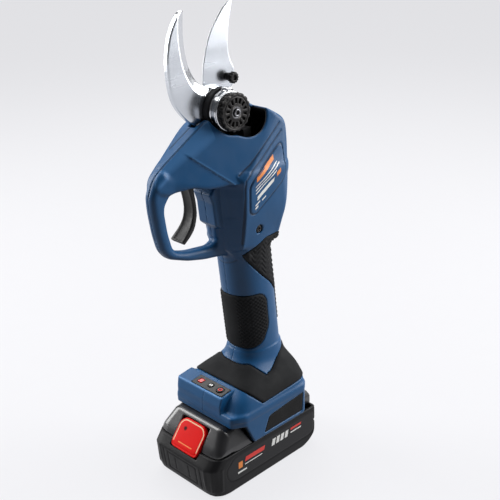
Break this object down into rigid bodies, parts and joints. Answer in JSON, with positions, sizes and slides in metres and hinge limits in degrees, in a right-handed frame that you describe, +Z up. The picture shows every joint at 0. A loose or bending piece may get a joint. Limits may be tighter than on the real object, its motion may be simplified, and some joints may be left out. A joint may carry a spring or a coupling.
{
  "type": "battery electric pruner",
  "caption": "Hand-held electric pruner: a hook blade and a motor-driven moving blade on a leaning handle with a trigger guard, standing on a slide-on battery.",
  "frame": {"origin": "middle of the battery's flat underside", "axes": "+Z up along the tool, -Y towards the trigger guard and the battery's release button, +X towards the right-hand shell"},
  "size_m": [0.0786, 0.138, 0.3765],
  "materials": {
    "housing_blue": "satin moulded plastic",
    "rubber_black": "soft matte overmould",
    "case_black": "satin moulded plastic",
    "panel_black": "glossy",
    "button_red": "glossy",
    "lens_red": "clear tinted",
    "blade_steel": "ground and polished",
    "gear_steel": "machined",
    "bright_steel": "polished",
    "black_oxide": "black oxide",
    "cast_aluminium": "cast, dark",
    "bronze": "sintered",
    "copper_winding": "enamelled wire",
    "board_green": "solder mask",
    "cell_wrap": "shrink wrap on a steel can",
    "wire_red": "silicone insulation"
  },
  "bodies": {
    "handle": {"housing_right": "housing_blue", "housing_left": "housing_blue", "palm_grip": "rubber_black", "rear_grip": "rubber_black", "foot_bumper": "rubber_black", "vent_right": "case_black", "vent_left": "case_black", "hook_blade": "blade_steel", "pivot_bolt": "black_oxide", "spacer_ring": "bright_steel", "lock_ring": "black_oxide", "lock_disc": "black_oxide", "gear_case": "cast_aluminium", "pinion_bearing_upper": "gear_steel", "pinion_bearing_lower": "gear_steel", "ring_gear": "black_oxide", "stator": "copper_winding", "motor_can": "cast_aluminium", "motor_end_bell": "case_black", "motor_plate": "cast_aluminium", "trigger_pin": "gear_steel", "trigger_spring": "gear_steel", "trigger_sensor": "board_green", "control_panel": "panel_black", "status_lens": "lens_red", "control_board": "board_green", "motor_leads": "wire_red", "terminal_block": "case_black", "housing_screw_1": "black_oxide", "housing_screw_2": "black_oxide", "housing_screw_3": "black_oxide", "housing_screw_4": "black_oxide", "case_screw_right": "black_oxide", "case_screw_left": "black_oxide"},
    "moving_blade": {"moving_blade": "blade_steel", "pivot_bush": "bronze", "sector_gear": "black_oxide", "sector_pin_1": "gear_steel", "sector_pin_2": "gear_steel", "heel_screw": "black_oxide"},
    "pinion": {"bevel_pinion": "gear_steel"},
    "planet_1": {"planet_gear_1": "gear_steel"},
    "planet_2": {"planet_gear_2": "gear_steel"},
    "planet_3": {"planet_gear_3": "gear_steel"},
    "rotor": {"motor_shaft": "gear_steel", "rotor_core": "black_oxide"},
    "trigger": {"trigger": "case_black"},
    "power_button": {"power_button": "panel_black"},
    "mode_button": {"mode_button": "panel_black"},
    "release_button": {"release_button": "button_red"},
    "battery": {"battery_case_lower": "case_black", "battery_case_upper": "case_black", "release_spring": "gear_steel", "cell_1": "cell_wrap", "cell_2": "cell_wrap", "cell_3": "cell_wrap", "cell_4": "cell_wrap", "cell_5": "cell_wrap", "cell_holder": "case_black", "battery_board": "board_green"}
  },
  "joints": [
    {"name": "blade_pivot", "type": "hinge", "parent": "handle", "child": "moving_blade", "pos_m": [0, -0.002, 0.3], "axis": [1, 0, 0], "range_deg": [0, 38]},
    {"name": "pinion_spin", "type": "hinge", "parent": "handle", "child": "pinion", "pos_m": [0, -0.002, 0.3], "axis": [0, -0.1025, 0.9947], "range_deg": [-154, 0]},
    {"name": "planet_1_spin", "type": "hinge", "parent": "pinion", "child": "planet_1", "pos_m": [0.0084, 0.00599, 0.22241], "axis": [0, -0.1025, 0.9947], "range_deg": [0, 424]},
    {"name": "planet_2_spin", "type": "hinge", "parent": "pinion", "child": "planet_2", "pos_m": [-0.0042, 0.01323, 0.22316], "axis": [0, -0.1025, 0.9947], "range_deg": [0, 424]},
    {"name": "planet_3_spin", "type": "hinge", "parent": "pinion", "child": "planet_3", "pos_m": [-0.0042, -0.00125, 0.22167], "axis": [0, -0.1025, 0.9947], "range_deg": [0, 424]},
    {"name": "rotor_spin", "type": "hinge", "parent": "handle", "child": "rotor", "pos_m": [0, -0.002, 0.3], "axis": [0, -0.1025, 0.9947], "range_deg": [-716, 0]},
    {"name": "trigger_pull", "type": "hinge", "parent": "handle", "child": "trigger", "pos_m": [0, -0.042, 0.258], "axis": [1, 0, 0], "range_deg": [0, 12], "stiffness_Nm_per_rad": 0.6, "springref_deg": -5.73},
    {"name": "power_press", "type": "slide", "parent": "handle", "child": "power_button", "axis": [0, 0, -1], "range_m": [0, 0.0008], "stiffness_N_per_m": 1500, "springref_m": -0.0003},
    {"name": "mode_press", "type": "slide", "parent": "handle", "child": "mode_button", "axis": [0, 0, -1], "range_m": [0, 0.0008], "stiffness_N_per_m": 1500, "springref_m": -0.0003},
    {"name": "pack_slide", "type": "slide", "parent": "handle", "child": "battery", "axis": [0, -1, 0], "range_m": [0, 0.13]},
    {"name": "release_press", "type": "slide", "parent": "battery", "child": "release_button", "axis": [0, 0.7883, -0.6153], "range_m": [0, 0.002], "stiffness_N_per_m": 3000, "springref_m": -0.0005}
  ],
  "couplings": [
    {"joint": "pinion_spin", "follows": "blade_pivot", "ratio": -4},
    {"joint": "planet_1_spin", "follows": "blade_pivot", "ratio": 11},
    {"joint": "planet_2_spin", "follows": "blade_pivot", "ratio": 11},
    {"joint": "planet_3_spin", "follows": "blade_pivot", "ratio": 11},
    {"joint": "rotor_spin", "follows": "blade_pivot", "ratio": -18.667}
  ]
}
